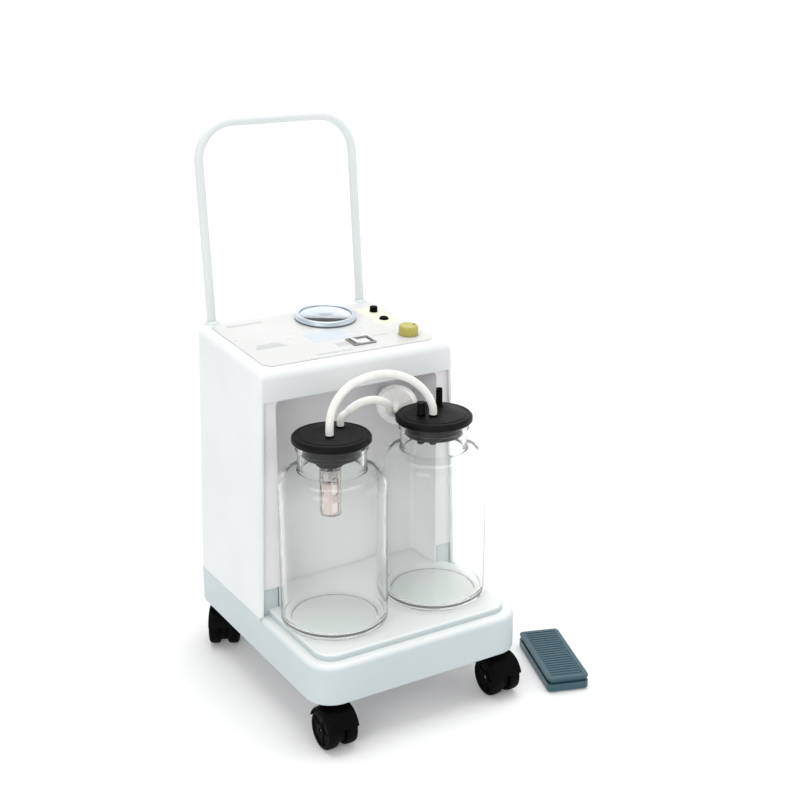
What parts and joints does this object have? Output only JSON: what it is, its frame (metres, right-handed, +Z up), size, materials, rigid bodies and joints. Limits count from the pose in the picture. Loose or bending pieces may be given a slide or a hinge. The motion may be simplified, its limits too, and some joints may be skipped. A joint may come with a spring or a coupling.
{
  "type": "suction pump",
  "caption": "Mobile suction pump: a white cabinet on swivel casters with glass collecting jars on a front shelf, linked hoses, a vacuum gauge, a push handle and a foot switch.",
  "frame": {"origin": "on the floor, under the middle of the cabinet's base", "axes": "+Z up, +X to the right of someone facing the jars, -Y towards the jars' side (front)"},
  "size_m": [0.4278, 0.4292, 0.713],
  "materials": {
    "shell_white": "smooth white moulded ABS with a fine satin texture",
    "panel_white": "smooth printed control panel",
    "base_pale": "pale blue-green moulded plastic, satin",
    "liner_greige": "warm grey moulded liner, fine grain",
    "handle_paint": "white powder coat on steel tube",
    "zinc_steel": "zinc plated steel",
    "gauge_body": "dark grey-blue gauge case",
    "gauge_rim": "turned steel rim with a blue-grey tint",
    "gauge_face": "printed dial",
    "gauge_glass": "clear gauge window",
    "needle_black": "black needle",
    "knob_yellow": "yellow moulded knob",
    "valve_brass": "turned brass",
    "rocker_grey": "grey rocker",
    "switch_black": "black moulded switchgear",
    "nipple_chrome": "plated hose nipple",
    "cast_alloy": "cast and machined alloy",
    "shaft_steel": "ground steel shaft",
    "fan_black": "black moulded fan and silencer",
    "mount_rubber": "black rubber",
    "board_green": "circuit board",
    "tube_inner": "silicone tube",
    "jar_glass": "clear moulded glass with a faint green tint",
    "lid_black": "black rubber stopper lid, satin",
    "port_black": "black moulded ports",
    "cage_clear": "clear plastic cage",
    "float_white": "white float",
    "filter_white": "off-white filter housing",
    "hose_cream": "translucent cream silicone hose",
    "fork_black": "black moulded caster hood",
    "wheel_black": "black castor wheels",
    "pedal_blue": "slate-blue painted steel"
  },
  "bodies": {
    "pump": {"base_pan": "base_pale", "base_plate": "zinc_steel", "housing_shell": "shell_white", "recess_panel": "liner_greige", "rear_cover": "shell_white", "control_panel": "panel_white", "handle_tube": "handle_paint", "handle_sockets": "zinc_steel", "cover_screws": "zinc_steel", "caster_bushes": "zinc_steel", "gauge_case": "gauge_body", "gauge_bezel": "gauge_rim", "gauge_dial": "gauge_face", "gauge_lens": "gauge_glass", "regulator_valve": "valve_brass", "switch_cases": "switch_black", "fuse_holder": "switch_black", "mains_inlet": "switch_black", "foot_switch_socket": "switch_black", "panel_nipple": "nipple_chrome", "motor_case": "cast_alloy", "pump_crankcases": "cast_alloy", "pump_cylinders": "cast_alloy", "rubber_mounts": "mount_rubber", "silencer": "fan_black", "control_board": "board_green", "vacuum_lines": "tube_inner", "filter_disc": "filter_white"},
    "needle": {"gauge_needle": "needle_black"},
    "regulator": {"regulator_knob": "knob_yellow"},
    "rocker": {"power_rocker": "rocker_grey"},
    "selector": {"selector_knob": "switch_black"},
    "crank": {"crankshaft": "shaft_steel", "cooling_fan": "fan_black"},
    "left_piston": {"piston_left": "cast_alloy"},
    "right_piston": {"piston_right": "cast_alloy"},
    "jar_set": {"jar_left": "jar_glass", "jar_right": "jar_glass"},
    "lid_set": {"lid_left": "lid_black", "lid_right": "lid_black", "lid_ports": "port_black", "port_cap": "mount_rubber", "float_cage": "cage_clear", "hose_link": "hose_cream", "hose_filter": "hose_cream"},
    "float_body": {"float": "float_white"},
    "foot_switch": {"pedal_base": "pedal_blue", "pedal_pin": "zinc_steel", "pedal_spring": "shaft_steel", "pedal_switch": "switch_black", "pedal_feet": "mount_rubber"},
    "treadle": {"pedal_cover": "pedal_blue"},
    "fl_fork": {"caster_fl_fork": "fork_black"},
    "fl_wheels": {"caster_fl_wheels": "wheel_black"},
    "fr_fork": {"caster_fr_fork": "fork_black"},
    "fr_wheels": {"caster_fr_wheels": "wheel_black"},
    "rl_fork": {"caster_rl_fork": "fork_black"},
    "rl_wheels": {"caster_rl_wheels": "wheel_black"},
    "rr_fork": {"caster_rr_fork": "fork_black"},
    "rr_wheels": {"caster_rr_wheels": "wheel_black"}
  },
  "joints": [
    {"name": "needle_turn", "type": "hinge", "parent": "pump", "child": "needle", "pos_m": [0.03, 0.12, 0.45021], "axis": [0, -0.0698, 0.9976], "range_deg": [0, 270], "stiffness_Nm_per_rad": 0.0004},
    {"name": "regulator_turn", "type": "hinge", "parent": "pump", "child": "regulator", "pos_m": [0.098, 0.017, 0.44301], "axis": [0, -0.0698, 0.9976], "range_deg": [0, 270]},
    {"name": "rocker_tilt", "type": "hinge", "parent": "pump", "child": "rocker", "pos_m": [0.028, 0.02014, 0.44122], "axis": [0, 0.9976, 0.0698], "range_deg": [-16, 0]},
    {"name": "selector_turn", "type": "hinge", "parent": "pump", "child": "selector", "pos_m": [0.104, 0.118, 0.45007], "axis": [0, -0.0698, 0.9976], "range_deg": [0, 90]},
    {"name": "crank_spin", "type": "hinge", "parent": "pump", "child": "crank", "pos_m": [0, 0.095, 0.152], "axis": [1, 0, 0], "continuous": true},
    {"name": "right_piston_stroke", "type": "slide", "parent": "pump", "child": "right_piston", "axis": [0, 1, 0], "range_m": [-0.004, 0.004]},
    {"name": "left_piston_stroke", "type": "slide", "parent": "pump", "child": "left_piston", "axis": [0, 1, 0], "range_m": [-0.004, 0.004]},
    {"name": "jars_out", "type": "slide", "parent": "pump", "child": "jar_set", "axis": [0, -1, 0], "range_m": [0, 0.15]},
    {"name": "lids_off", "type": "slide", "parent": "jar_set", "child": "lid_set", "axis": [0, 0, 1], "range_m": [0, 0.095]},
    {"name": "float_rise", "type": "slide", "parent": "lid_set", "child": "float_body", "axis": [0, 0, 1], "range_m": [0, 0.016]},
    {"name": "foot_switch_away", "type": "slide", "parent": "pump", "child": "foot_switch", "axis": [1, 0, 0], "range_m": [0, 0.3]},
    {"name": "treadle_press", "type": "hinge", "parent": "foot_switch", "child": "treadle", "pos_m": [0.23956, -0.10511, 0.0135], "axis": [0.9455, -0.3256, 0], "range_deg": [0, 2], "stiffness_Nm_per_rad": 2, "springref_deg": -5.73, "deforming": ["pedal_spring"]},
    {"name": "fl_swivel", "type": "hinge", "parent": "pump", "child": "fl_fork", "pos_m": [-0.121, -0.155, 0.06], "axis": [0, 0, 1], "continuous": true},
    {"name": "fl_roll", "type": "hinge", "parent": "fl_fork", "child": "fl_wheels", "pos_m": [-0.121, -0.169, 0.025], "axis": [1, 0, 0], "continuous": true},
    {"name": "fr_swivel", "type": "hinge", "parent": "pump", "child": "fr_fork", "pos_m": [0.121, -0.155, 0.06], "axis": [0, 0, 1], "continuous": true},
    {"name": "fr_roll", "type": "hinge", "parent": "fr_fork", "child": "fr_wheels", "pos_m": [0.121, -0.169, 0.025], "axis": [1, 0, 0], "continuous": true},
    {"name": "rl_swivel", "type": "hinge", "parent": "pump", "child": "rl_fork", "pos_m": [-0.122, 0.15, 0.06], "axis": [0, 0, 1], "continuous": true},
    {"name": "rl_roll", "type": "hinge", "parent": "rl_fork", "child": "rl_wheels", "pos_m": [-0.129, 0.13788, 0.025], "axis": [0.866, -0.5, 0], "continuous": true},
    {"name": "rr_swivel", "type": "hinge", "parent": "pump", "child": "rr_fork", "pos_m": [0.121, 0.15, 0.06], "axis": [0, 0, 1], "continuous": true},
    {"name": "rr_roll", "type": "hinge", "parent": "rr_fork", "child": "rr_wheels", "pos_m": [0.12462, 0.13648, 0.025], "axis": [0.9659, 0.2588, 0], "continuous": true}
  ],
  "couplings": [
    {"joint": "left_piston_stroke", "follows": "right_piston_stroke", "ratio": -1}
  ]
}
